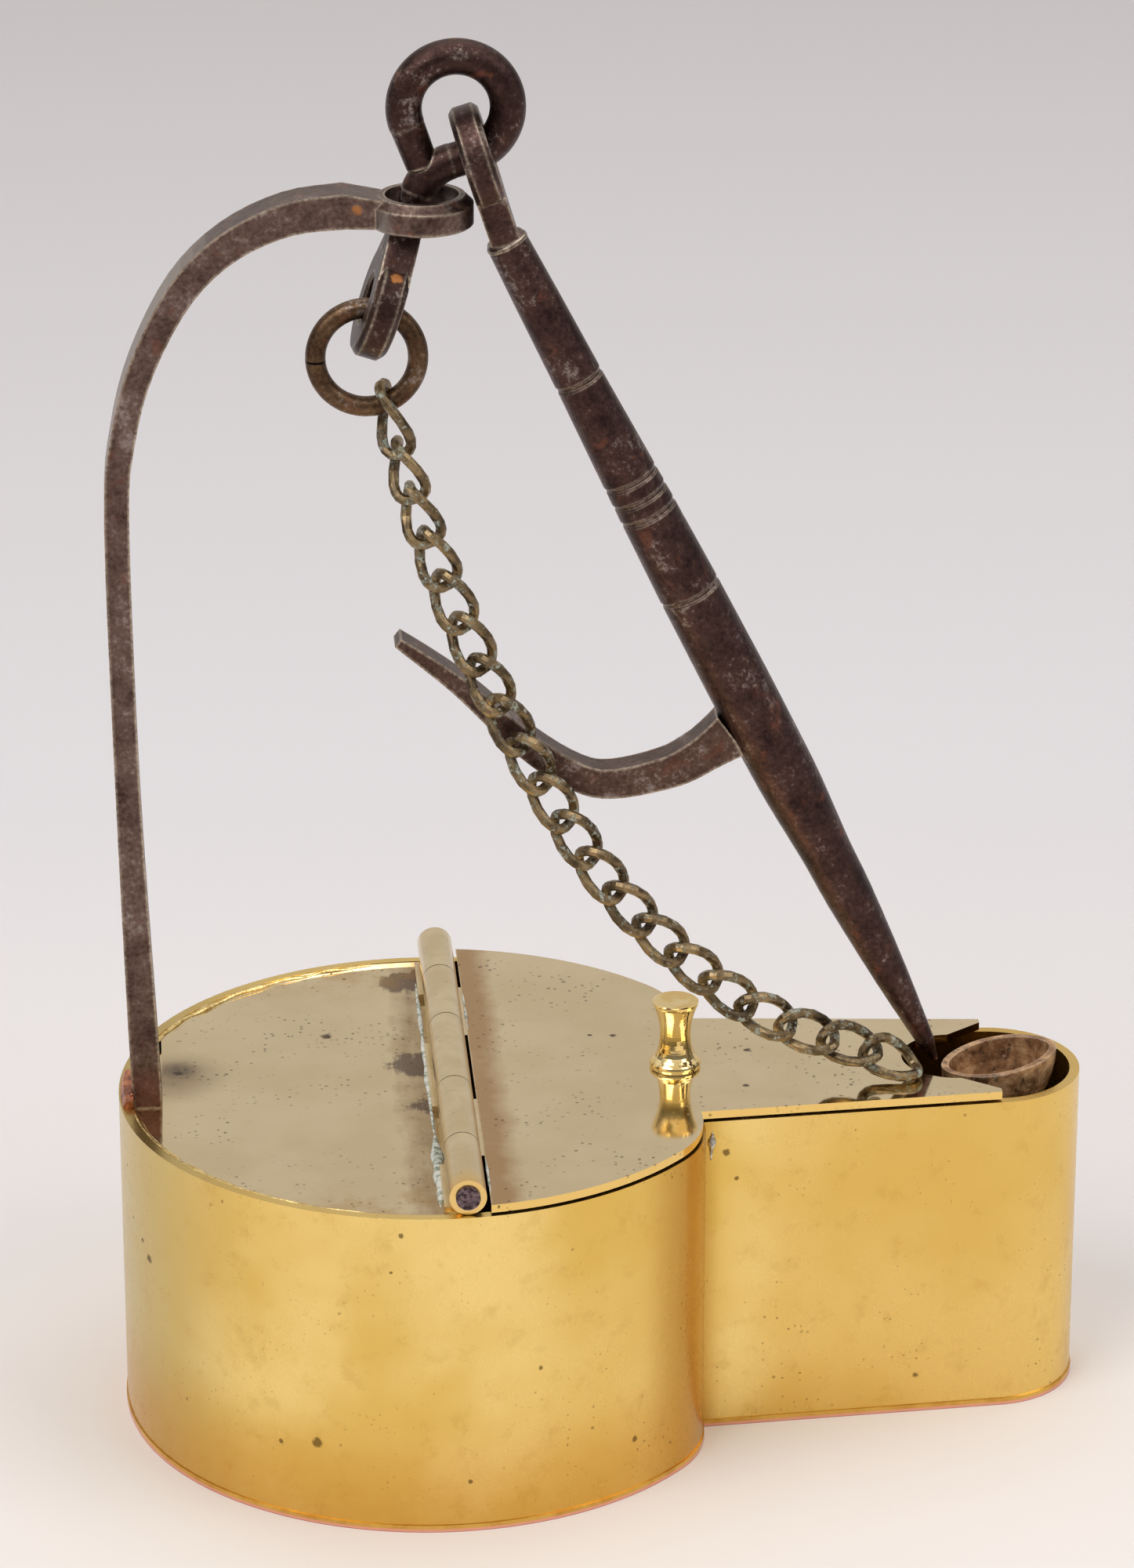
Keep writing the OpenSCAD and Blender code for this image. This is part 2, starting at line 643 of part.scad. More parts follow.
// boat-shaped trough for the wick, open above
module wick_trough() {
    around = 32;
    down = 6;
    function rim(t, z, in) = let (f = pow(cos(z * 90), 0.6) * (1 - in / trough_half_w),
        e = trough_half_l * (1 - in / trough_half_l) / trough_half_w / (1 - in / trough_half_w))
        [trough_x + trough_half_w * e * f * cos(t), -0.5 + trough_half_w * f * sin(t) * (0.8 + 0.2 * abs(sin(t))),
         trough_z + (1 - z) * trough_rise * (0.5 + 0.5 * cos(t)) - z * (trough_depth - in)];
    ring_at = function(z, in) [for (k = [0 : around - 1]) rim(360 * k / around, z, in)];
    outer = [for (z = [0 : down]) each ring_at(z / (down + 1), 0)];
    inner = [for (z = [0 : down]) each ring_at(z / (down + 1), trough_t)];
    pts = concat(outer, inner, [[trough_x, -0.5, trough_z - trough_depth], [trough_x, -0.5, trough_z - trough_depth + trough_t]]);
    m = around * (down + 1);
    function quad(a, b, c, d) = [[a, b, c], [a, c, d]];
    outer_faces = [for (z = [0 : down - 1], k = [0 : around - 1]) let (k2 = (k + 1) % around)
        each quad(z * around + k, (z + 1) * around + k, (z + 1) * around + k2, z * around + k2)];
    inner_faces = [for (z = [0 : down - 1], k = [0 : around - 1]) let (k2 = (k + 1) % around)
        each quad(m + z * around + k, m + z * around + k2, m + (z + 1) * around + k2, m + (z + 1) * around + k)];
    lip_faces = [for (k = [0 : around - 1]) let (k2 = (k + 1) % around) each quad(k, k2, m + k2, m + k)];
    outer_cap = [for (k = [0 : around - 1]) let (k2 = (k + 1) % around) [down * around + k, 2 * m, down * around + k2]];
    inner_cap = [for (k = [0 : around - 1]) let (k2 = (k + 1) % around) [m + down * around + k, m + down * around + k2, 2 * m + 1]];
    color(burnt) polyhedron(pts, concat(outer_faces, inner_faces, lip_faces, outer_cap, inner_cap));
}

// strip that carries the trough above the base plate
module trough_leg() color(burnt) {
    leg_x = trough_x - 1.5;
    leg_w = 5;
    foot_l = 8;
    translate([leg_x, -0.5 - leg_w / 2, base_t])
        cube([trough_t, leg_w, trough_z - trough_depth - base_t + 0.05]);
    translate([leg_x - foot_l, -0.5 - leg_w / 2, base_t])
        cube([foot_l, leg_w, trough_t]);
}

base_plate();
font_wall();
rear_plate();
hinge_barrel_back();
hinge_barrel_middle();
hinge_barrel_front();
hinge_pin();
bail();
bail_braze();
wick_trough();
trough_leg();
lid();
lid_knuckles();
lid_knob();
swivel();
chain_ring();
spike();
spike_braze();
side_hook();
for (i = [1 : link_n])
    chain_link(i);
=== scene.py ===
"""A brass lard lamp with its iron hanger and chain, dressed for its photograph.

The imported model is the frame. The CAD pieces keep their shapes and get their metals here,
and what is too small for the CAD, such as solder, braze and chalky crusts, is added as
surfaces worked out with numpy. Lengths are in metres unless a name ends in MM or a comment
says millimetres. Z is up, +X points to the spout and -Y to the viewer.
"""
import math
from functools import reduce

import bmesh
import bpy
import numpy as np
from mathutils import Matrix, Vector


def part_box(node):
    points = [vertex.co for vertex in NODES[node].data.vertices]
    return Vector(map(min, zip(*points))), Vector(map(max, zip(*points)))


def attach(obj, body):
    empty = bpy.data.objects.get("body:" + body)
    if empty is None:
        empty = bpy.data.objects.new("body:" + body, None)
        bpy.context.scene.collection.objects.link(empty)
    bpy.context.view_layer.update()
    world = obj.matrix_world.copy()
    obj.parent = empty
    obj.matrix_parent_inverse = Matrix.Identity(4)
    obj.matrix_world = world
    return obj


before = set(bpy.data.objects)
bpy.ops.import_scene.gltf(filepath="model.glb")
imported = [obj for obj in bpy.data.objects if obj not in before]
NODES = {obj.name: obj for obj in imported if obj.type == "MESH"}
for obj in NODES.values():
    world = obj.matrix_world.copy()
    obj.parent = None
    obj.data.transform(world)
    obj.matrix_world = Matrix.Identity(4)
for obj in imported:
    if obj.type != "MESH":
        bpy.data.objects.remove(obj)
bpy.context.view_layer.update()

MM = 0.001


# Shader tools
MIX_AMOUNT, MIX_FIRST, MIX_SECOND, MIX_COLOUR = 0, 6, 7, 2
RAG_MM, RAG_PUSH_MM = 0.45, 0.25
PIT_CORE = 0.55
PICK_SOFTNESS = 0.02
CLOUD_MM, CLOUD_LOW, CLOUD_HIGH, CLOUD_SPREAD = 9, 0.62, 0.66, 0.25
STAIN_LUMP_MM, STAIN_RAG, STAIN_CORE = 0.8, 1.3, 0.45
FLAT_FACE, SHARP_EDGE = 0.985, 0.88


class Maker:
    """Makes nodes in one tree."""

    def __init__(self, tree):
        self.tree = tree

    def node(self, kind, settings=None, **values):
        """A node of that type: settings come first, then the values or links of its sockets."""
        made = self.tree.nodes.new(kind)
        for name, value in (settings or {}).items():
            if name == "stops":
                self.set_stops(made.color_ramp, value)
            else:
                setattr(made, name, value)
        for name, value in values.items():
            self.feed(made, name.replace("_", " "), value)
        return made

    def set_stops(self, ramp, stops):
        """Gives a colour ramp its stops, each a place and a colour."""
        while len(ramp.elements) < len(stops):
            ramp.elements.new(0.5)
        for element, (place, colour) in zip(ramp.elements, stops):
            element.position = place
            element.color = (*colour, 1)

    def feed(self, made, name, value):
        """Sets or links one input, found by its name or its number."""
        socket = made.inputs[name]
        if isinstance(value, Wire):
            value = value.socket
        if isinstance(value, bpy.types.NodeSocket):
            self.tree.links.new(value, socket)
        elif isinstance(value, tuple) and len(value) == 3 and socket.type == "RGBA":
            socket.default_value = (*value, 1)
        else:
            socket.default_value = value

    def maths(self, operation, *terms, clamp=False):
        """A Math node on values or sockets."""
        made = self.node("ShaderNodeMath", {"operation": operation, "use_clamp": clamp})
        for place, term in enumerate(terms):
            self.feed(made, place, term)
        return Wire(self, made.outputs[0])

    def vector_maths(self, operation, *terms):
        """A Vector Math node on vectors or sockets."""
        made = self.node("ShaderNodeVectorMath", {"operation": operation})
        for place, term in enumerate(terms):
            self.feed(made, place, term)
        return made


class Wire:
    """A value's socket with arithmetic, so that shader maths is written as an expression."""

    def __init__(self, maker, socket):
        self.maker = maker
        self.socket = socket

    def __add__(self, other):
        return self.maker.maths("ADD", self, other)

    def __sub__(self, other):
        return self.maker.maths("SUBTRACT", self, other)

    def __rsub__(self, other):
        return self.maker.maths("SUBTRACT", other, self)

    def __mul__(self, other):
        return self.maker.maths("MULTIPLY", self, other)

    def __truediv__(self, other):
        return self.maker.maths("DIVIDE", self, other)

    __radd__ = __add__
    __rmul__ = __mul__

    def abs(self):
        return self.maker.maths("ABSOLUTE", self)

    def clamp(self):
        return self.maker.maths("ADD", self, 0.0, clamp=True)

    def most(self, other):
        return self.maker.maths("MAXIMUM", self, other)

    def step(self, low, high):
        """0 below low, 1 above high, smooth between; where low is the greater it falls instead."""
        rising = low < high
        span = self.maker.node(
            "ShaderNodeMapRange", {"interpolation_type": "SMOOTHSTEP"}, Value=self,
            From_Min=min(low, high), From_Max=max(low, high),
            To_Min=0.0 if rising else 1.0, To_Max=1.0 if rising else 0.0)
        return Wire(self.maker, span.outputs[0])


class Finish:
    """One material with a Principled shader, and the patterns that the finishes share."""

    def __init__(self, name, **constants):
        self.material = bpy.data.materials.new(name)
        self.material.use_nodes = True
        self.material.node_tree.nodes.clear()
        self.make = Maker(self.material.node_tree)
        self.shader = self.make.node("ShaderNodeBsdfPrincipled", None, **constants)
        self.out = self.make.node(
            "ShaderNodeOutputMaterial", None, Surface=self.shader.outputs[0])
        self.coords = self.make.node("ShaderNodeTexCoord").outputs["Object"]
        self.xyz = self.make.node("ShaderNodeSeparateXYZ", None, Vector=self.coords)

    def wire(self, socket):
        """A node's output as a value that takes arithmetic."""
        return Wire(self.make, socket)

    def axis(self, name):
        """One coordinate in millimetres."""
        return self.wire(self.xyz.outputs[name]) * (1 / MM)

    def facing(self, name):
        """How far the surface faces along one axis, from -1 to 1."""
        normal = self.make.node("ShaderNodeNewGeometry").outputs["Normal"]
        parts = self.make.node("ShaderNodeSeparateXYZ", None, Vector=normal)
        return self.wire(parts.outputs[name])

    def distance(self, x, y, z):
        """How far a point is from one place, all in millimetres."""
        place = (x * MM, y * MM, z * MM)
        offset = self.make.vector_maths("DISTANCE", self.coords, place)
        return self.wire(offset.outputs["Value"]) * (1 / MM)

    def stretched(self, x, y, z):
        """Object coordinates scaled along the axes: a small scale draws a pattern out."""
        scaled = self.make.node("ShaderNodeMapping", None, Vector=self.coords, Scale=(x, y, z))
        return scaled.outputs[0]

    def noise(self, size_mm, detail=3.0, rough=0.55, warp=0.0, vector=None):
        """Cloudy noise from 0 to 1 whose lumps are about size_mm across."""
        made = self.make.node(
            "ShaderNodeTexNoise", None, Vector=vector or self.coords, Scale=1 / (size_mm * MM),
            Detail=detail, Roughness=rough, Distortion=warp)
        return self.wire(made.outputs["Fac"])

    def cells(self, size_mm):
        """Cells of about size_mm whose outlines a fine noise pushes about, for ragged dots."""
        push = self.make.node(
            "ShaderNodeTexNoise", None, Vector=self.coords, Scale=1 / (RAG_MM * MM), Detail=2.0)
        moved = self.make.vector_maths(
            "MULTIPLY_ADD", push.outputs["Color"], (RAG_PUSH_MM * MM,) * 3, self.coords)
        return self.make.node(
            "ShaderNodeTexVoronoi", {"feature": "F1"}, Vector=moved.outputs[0],
            Scale=1 / (size_mm * MM))

    def pits(self, size_mm, radius, chance, spread):
        """Ragged dark dots about size_mm apart.

        The radius is a share of the cells' size, chance keeps that share of the dots, and a
        greater spread lets them into more of a cloudy pattern.
        """
        cells = self.cells(size_mm)
        dots = self.wire(cells.outputs["Distance"]).step(radius, radius * PIT_CORE)
        parts = self.make.node("ShaderNodeSeparateColor", None, Color=cells.outputs["Color"])
        picked = self.wire(parts.outputs[0]).step(chance, chance - PICK_SOFTNESS)
        clouds = self.noise(CLOUD_MM, 3, 0.6).step(CLOUD_LOW - spread * CLOUD_SPREAD, CLOUD_HIGH)
        return dots * picked * clouds

    def stains(self, places):
        """Ragged stains at given places, each x, y, z and reach in millimetres."""
        ragged = self.noise(STAIN_LUMP_MM, 3, 0.6) - 0.5
        spots = []
        for x, y, z, reach in places:
            away = self.distance(x, y, z) + ragged * (reach * STAIN_RAG)
            spots.append(away.step(reach, reach * STAIN_CORE))
        return reduce(Wire.most, spots)

    def blob(self, x, y, z, reach, core=0.1):
        """A soft patch round one place in millimetres: 1 within core times reach, 0 past reach."""
        return self.distance(x, y, z).step(reach, reach * core)

    def worn_edge(self, radius_mm):
        """1 along sharp edges, where the bevelled normal leaves the face's own, 0 on flat faces."""
        bevel = self.make.node("ShaderNodeBevel", {"samples": 4}, Radius=radius_mm * MM)
        true = self.make.node("ShaderNodeNewGeometry").outputs["Normal"]
        agreement = self.make.vector_maths("DOT_PRODUCT", bevel.outputs[0], true)
        return self.wire(agreement.outputs["Value"]).step(FLAT_FACE, SHARP_EDGE)

    def mix(self, amount, first, second):
        """Colours or links blended by amount."""
        made = self.make.node("ShaderNodeMix", {"data_type": "RGBA"})
        for place, value in ((MIX_AMOUNT, amount), (MIX_FIRST, first), (MIX_SECOND, second)):
            self.make.feed(made, place, value)
        return made.outputs[MIX_COLOUR]

    def layers(self, base, *coats):
        """A base colour with coats laid over it in turn, each an amount and a colour."""
        for amount, colour in coats:
            base = self.mix(amount, base, colour)
        return base

    def ramp(self, value, *stops):
        """A colour for each value."""
        return self.make.node("ShaderNodeValToRGB", {"stops": stops}, Fac=value).outputs[0]

    def complete(self, colour, roughness=None, metallic=None, height=None, depth_mm=0.05):
        """Links what varies into the shader and hands the material over."""
        varied = (("Base Color", colour), ("Roughness", roughness), ("Metallic", metallic))
        for socket, value in varied:
            if value is not None:
                self.make.feed(self.shader, socket, value)
        if height is not None:
            bump = self.make.node(
                "ShaderNodeBump", None, Height=height, Distance=depth_mm * MM, Strength=1.0)
            self.make.feed(self.shader, "Normal", bump.outputs[0])
        return self.material


def srgb(*screen):
    """A colour as it is read off a screen, three numbers from 0 to 255, made linear."""
    shares = (value / 255 for value in screen)
    return tuple(s / 12.92 if s <= 0.04045 else ((s + 0.055) / 1.055) ** 2.4 for s in shares)


# Metals

# A stain is x, y, z and reach in millimetres, and a burn has a strength after them
SIDE_STAINS = (
    (-15.4, -34.7, 10.8, 0.85), (22.8, -30.4, 7.5, 0.55), (-34.8, -15.2, 26.2, 0.75),
    (-35.5, -13.4, 27.8, 0.45), (-19.7, -32.5, 10, 0.4), (2.6, -37.9, 6.6, 0.35),
    (-5.3, -37.6, 39.2, 0.4), (11.1, -36.3, 20.6, 0.35), (59.2, -11.8, 5, 0.5),
    (35.2, -13.8, 37.2, 0.6), (36.5, -13.7, 33.6, 0.4),
)
TOP_STAINS = (
    (-30.6, 5.6, 41, 0.8), (-12.1, 15.2, 41, 0.9), (23.3, 9.2, 42.7, 0.6),
    (20.5, 9.5, 42.7, 0.4), (39.5, 3.6, 42.7, 0.6), (38.3, -6.6, 42.7, 0.5),
)
HINGE_BURNS = ((-1.2, 31, 41, 8, 1.0), (-1.0, 6, 41, 7.5, 1.0), (-0.6, -6, 41, 6, 0.7))


def font_brass():
    """Polished sheet of the font's side.

    Cloudy gold, amber at the foot, with fine pits. The olive at the left end is a painted
    reflection, and the honey over the right side and the amber in the neck are painted shade.
    The masks run along X and Z in millimetres.
    """
    m = Finish("font_brass", Metallic=1.0)
    gold, bright_gold, worn_gold = srgb(228, 191, 101), srgb(246, 217, 138), srgb(196, 154, 72)
    # The olive is a painted reflection; the honey and the bronze are painted shade.
    olive, shaded_honey, shaded_bronze = srgb(202, 180, 116), srgb(222, 184, 92), srgb(190, 144, 58)
    amber, spout_gold, pit_brown = srgb(212, 160, 70), srgb(228, 188, 100), srgb(84, 58, 28)
    x, z = m.axis("X"), m.axis("Z")
    cloud = m.noise(24, 3, 0.5)
    fine = m.noise(3.2, 5, 0.65)
    scratches = m.noise(0.8, 2, 0.5, vector=m.stretched(1, 1, 0.04))
    # Painted light: a reflection at the left end, and shade over the right side and in the neck.
    left_reflection = x.step(-20, -37)
    right_shade = x.step(3, 20) * x.step(37, 33)
    neck = x.step(23, 29) * x.step(35, 32)
    foot = z.step(17, 3) * x.step(34, 30)
    spout = x.step(36, 44)
    brass = m.layers(
        m.mix(cloud.step(0.36, 0.66), gold, bright_gold),
        (left_reflection * 0.85, olive),
        (right_shade * 0.45, shaded_honey),
        (neck * 0.75, shaded_bronze),
        (foot * (0.35 + fine * 0.5), amber),
        (spout * 0.55, spout_gold),
        (fine.step(0.52, 0.74) * 0.26, worn_gold),
    )
    low_right = 0.35 + x.step(-8, 20) * z.step(30, 8) * 0.65
    pits = m.pits(0.8, 0.24, 0.42, 0.7) * low_right
    specks = m.pits(3.4, 0.085, 0.5, 0.9)
    dark = (pits * 0.6).most(specks * 0.7).most(m.stains(SIDE_STAINS) * 0.72)
    rough = 0.15 + cloud * 0.08 + fine * 0.1 + dark * 0.3 + scratches * 0.05
    return m.complete(
        m.mix(dark.clamp(), brass, pit_brown), rough,
        height=scratches * 0.15 + m.noise(7, 2) * 0.9 - dark * 0.8, depth_mm=0.035)


def top_brass():
    """Mirror top of the lamp.

    Pale tan with pits, burns behind the hinge, an orange stain before it, a smoked patch at the
    strap's foot and gold where a sheet's cut edge shows. The masks run along X and Y in
    millimetres.
    """
    m = Finish("top_brass", Metallic=1.0)
    tan, bright_tan, edge_gold = srgb(226, 207, 166), srgb(234, 217, 178), srgb(240, 204, 122)
    halo_brown, burn_grey, orange = srgb(150, 118, 72), srgb(84, 68, 62), srgb(172, 128, 74)
    smoke, soot, rim_amber = srgb(120, 92, 66), srgb(62, 50, 48), srgb(196, 150, 78)
    pit_brown = srgb(70, 54, 44)
    x, y = m.axis("X"), m.axis("Y")
    cloud = m.noise(14, 4, 0.55)
    ragged = m.noise(4.5, 5, 0.68)
    streaks = m.noise(1.1, 3, 0.6, vector=m.stretched(1, 0.12, 1))
    patches = m.noise(11, 2, 0.5)
    rear = x.step(1.5, 0)
    behind = x.step(-8.5, -0.5) * rear
    before = x.step(5, 5.6) * x.step(11.5, 6.2)
    halo = (behind * 0.9 + ragged * 0.8 + streaks * 0.4 + patches * 0.3 - 1.2).clamp()
    scorched = reduce(Wire.most, [m.blob(*place) * share for *place, share in HINGE_BURNS])
    burn = (scorched + (ragged - 0.5) * 1.5 + (streaks - 0.5) * 0.9).step(0.5, 0.78) * rear
    stain = (before * 0.8 + ragged * 0.7 + patches * 0.3 - 0.72).clamp()
    strap_foot = m.blob(-31.5, 4.5, 41, 8.5) * (0.5 + ragged)
    strap_soot = m.blob(-30.6, 6.5, 41, 3.4) * (0.3 + streaks)
    rim = y.abs().step(24, 36) * ragged.step(0.42, 0.62) * x.step(6, -4)
    cut_edge = m.facing("Z").abs().step(0.7, 0.4)
    brass = m.layers(
        m.mix(cloud.step(0.35, 0.7), tan, bright_tan),
        ((halo * 1.9).clamp() * 0.75, halo_brown),
        (burn * 0.8, burn_grey),
        ((stain * 1.9).clamp() * 0.75, orange),
        (strap_foot.clamp() * 0.62, smoke),
        (strap_soot.clamp() * 0.8, soot),
        (rim * 0.4, rim_amber),
        (cut_edge, edge_gold),
    )
    pits = m.pits(0.9, 0.3, 0.5, 0.9).most(m.pits(3.6, 0.1, 0.6, 0.9))
    stains = m.stains(TOP_STAINS)
    rough = 0.075 + ragged.step(0.45, 0.75) * 0.06 + pits * 0.3 + burn * 0.3 + stains * 0.3
    return m.complete(
        m.mix((pits * 0.7).most(stains * 0.9).clamp(), brass, pit_brown), rough,
        height=m.noise(12, 2) * 0.8 - pits * 0.4, depth_mm=0.03)


def hinge_brass():
    """Rolled knuckles: the same pale brass, rubbed along their length and gold at the near end."""
    m = Finish("hinge_brass", Metallic=1.0)
    tan, bright_tan = srgb(222, 202, 158), srgb(234, 216, 176)
    gold, speck_brown = srgb(240, 196, 98), srgb(120, 92, 56)
    cloud = m.noise(5, 4, 0.6)
    rub = m.noise(0.7, 3, 0.6, vector=m.stretched(1, 0.06, 1))
    near_end = m.axis("Y").step(-33, -37)
    specks = m.noise(0.9, 4, 0.7).step(0.62, 0.72)
    brass = m.layers(
        m.mix(cloud.step(0.35, 0.7), tan, bright_tan),
        (near_end * 0.6, gold),
        (specks * 0.45, speck_brown),
    )
    return m.complete(brass, 0.13 + cloud * 0.08 + rub * 0.08, height=rub, depth_mm=0.015)


def knob_brass_painted_highlight():
    """Turned knob: clean gold with turning lines, lightened all over as a painted highlight."""
    m = Finish("knob_brass_painted_highlight", Metallic=1.0)
    lines = m.noise(0.5, 2, 0.5, vector=m.stretched(0.1, 0.1, 1))
    # Both golds are lightened as a painted highlight.
    brass = m.mix(m.noise(2.5, 3).step(0.4, 0.65), srgb(240, 206, 130), srgb(252, 228, 168))
    return m.complete(brass, 0.07 + lines * 0.08, height=lines, depth_mm=0.01)


def base_copper():
    """Copper sheet under the font: gold above, pink along its edge, brown and stained below."""
    m = Finish("base_copper", Metallic=1.0)
    pink, brown = srgb(238, 178, 158), srgb(112, 70, 48)
    cloud = m.noise(4, 4, 0.6)
    z = m.axis("Z")
    copper = m.layers(
        m.mix(cloud.step(0.4, 0.7), srgb(226, 186, 98), srgb(206, 156, 72)),
        (z.step(0.5, 0.3), pink),
        (z.step(0.12, 0.02) * (0.4 + cloud * 0.4), brown),
    )
    return m.complete(copper, 0.2 + cloud * 0.2, height=cloud, depth_mm=0.02)


def braze():
    """Copper-coloured braze: lumpy, with purple and orange heat colours."""
    m = Finish("braze", Metallic=1.0)
    brown, copper = srgb(92, 60, 58), srgb(168, 104, 76)
    salmon, purple = srgb(222, 150, 112), srgb(120, 92, 104)
    cloud = m.noise(1.6, 4, 0.65)
    heat = m.ramp(cloud, (0.32, brown), (0.48, copper), (0.62, salmon), (0.75, purple))
    return m.complete(heat, 0.26 + cloud * 0.2, height=m.noise(0.8, 3), depth_mm=0.08)


def solder():
    """Grey-white solder, smooth and shiny with a dull skin in places."""
    m = Finish("solder", Metallic=1.0)
    skin = m.noise(0.6, 4, 0.65)
    tin = m.mix(skin.step(0.4, 0.66), srgb(228, 224, 214), srgb(150, 142, 128))
    return m.complete(tin, 0.16 + skin * 0.3, height=skin, depth_mm=0.05)


def rim_solder():
    """Solder run along the rear plate's rim, polished over with the brass."""
    m = Finish("rim_solder", Metallic=1.0)
    skin = m.noise(0.9, 4, 0.65)
    gold = m.mix(skin.step(0.4, 0.66), srgb(252, 226, 158), srgb(204, 168, 96))
    return m.complete(gold, 0.12 + skin * 0.2, height=skin, depth_mm=0.06)


def residue():
    """Dried polish and corrosion that stay in the corners: chalky white, bluish and green."""
    m = Finish("residue", Roughness=0.75)
    dark_green, pale_green = srgb(84, 92, 76), srgb(166, 174, 158)
    chalk, bluish = srgb(228, 227, 220), srgb(188, 192, 200)
    cloud = m.noise(1.1, 5, 0.7)
    crust = m.ramp(cloud, (0.34, dark_green), (0.44, pale_green), (0.56, chalk), (0.7, bluish))
    return m.complete(crust, height=m.noise(0.4, 4, 0.7), depth_mm=0.12)


def iron(name, dark, light, brazed=(), seam=None, reflection_paint=None, heated=None):
    """Old forged iron: purple brown, glossy, mottled with grey and rubbed bright at its edges.

    brazed gives stains of braze. seam is the X and Z of a dark joint line that runs back from
    there, the argument after it a pale colour laid on the face towards -X as a painted
    reflection, and heated a place and reach of rust, all in millimetres.
    """
    m = Finish(name)
    grey, rust_brown, braze_gold = srgb(148, 136, 130), srgb(118, 62, 38), srgb(176, 116, 66)
    bare, joint_black = srgb(216, 200, 178), srgb(16, 10, 8)
    middle = tuple((a + b) / 2 for a, b in zip(dark, light))
    cloud = m.noise(4.2, 5, 0.65)
    fine = m.noise(0.55, 5, 0.7)
    rust = m.noise(3.1, 4, 0.6, 0.4).step(0.58, 0.72)
    if heated:
        rust = rust.most(m.blob(*heated, 0.2) * (0.4 + fine * 0.8)).clamp()
    edge = m.worn_edge(0.6) * (0.35 + fine.step(0.36, 0.6) * 0.65)
    mottle = cloud * 0.55 + fine * 0.45
    skin = m.ramp(mottle, (0.36, dark), (0.47, middle), (0.56, light), (0.66, grey))
    coats = [(rust * 0.5, rust_brown)]
    if brazed:
        coats.append((m.stains(brazed) * 0.85, braze_gold))
    coats.append((edge * 0.85, bare))
    # Painted reflection: the face towards -X is lightened towards a pale grey.
    if reflection_paint:
        reflection_side = m.facing("X").step(-0.55, -0.85)
        coats.append((reflection_side * (0.45 + fine * 0.5), reflection_paint))
    if seam:
        seam_x, seam_z = seam
        line = (m.axis("Z") - seam_z).abs().step(0.2, 0.1) * m.axis("X").step(seam_x + 1, seam_x)
        coats.append((line, joint_black))
    rough = 0.24 + fine * 0.2 + rust * 0.16 - edge * 0.06
    height = fine * 0.75 + m.noise(1.7, 3) * 0.8
    return m.complete(m.layers(skin, *coats), rough, 0.92 - rust * 0.3, height, 0.1)


def pin_iron():
    """Rough dark end of the hinge pin."""
    m = Finish("pin_iron")
    fine = m.noise(0.5, 4, 0.7)
    skin = m.mix(fine.step(0.4, 0.62), srgb(52, 38, 44), srgb(128, 108, 112))
    return m.complete(skin, 0.35 + fine * 0.3, 0.7, fine, 0.15)


def chain_brass():
    """Old brass wire: dull olive brown, rubbed gold in places, with pale green crust."""
    m = Finish("chain_brass")
    dull, olive = srgb(88, 74, 56), srgb(150, 128, 94)
    rubbed, crust_green = srgb(176, 152, 108), srgb(176, 184, 170)
    cloud = m.noise(3, 4, 0.6)
    fine = m.noise(0.6, 4, 0.7)
    crust = (m.noise(1.3, 5, 0.7) * 0.7 + fine * 0.3).step(0.53, 0.6)
    wire = m.layers(
        m.mix(cloud.step(0.36, 0.66), dull, olive),
        (fine.step(0.56, 0.7) * 0.6, rubbed),
        (crust * 0.75, crust_green),
    )
    rough = 0.3 + crust * 0.45 + fine * 0.1
    return m.complete(wire, rough, 0.92 - crust * 0.85, crust + fine * 0.6, 0.07)


def burnt_brass():
    """Wick trough: rust brown and orange tan, dark low down, with soot and a pale crust."""
    m = Finish("burnt_brass")
    brown, tan, pale = srgb(88, 62, 44), srgb(156, 116, 80), srgb(212, 172, 128)
    deep_soot, black_soot, ash = srgb(46, 32, 26), srgb(40, 28, 24), srgb(206, 184, 158)
    cloud = m.noise(2.4, 5, 0.65)
    soot = m.noise(1.4, 4, 0.7)
    low = m.axis("Z").step(38, 33)
    crust = m.noise(0.6, 4, 0.7).step(0.6, 0.68).most(m.worn_edge(0.35) * soot.step(0.4, 0.5))
    scoop = m.layers(
        m.ramp(cloud, (0.3, brown), (0.46, tan), (0.62, pale)),
        (low * 0.7, deep_soot),
        (soot.step(0.55, 0.66) * 0.7, black_soot),
        (crust * 0.6, ash),
    )
    return m.complete(scoop, 0.4 + crust * 0.25, 0.45 - crust * 0.4, cloud + crust * 0.7, 0.14)


IRON_DARK, IRON_MID, IRON_BROWN = srgb(38, 25, 24), srgb(80, 58, 53), srgb(70, 50, 45)
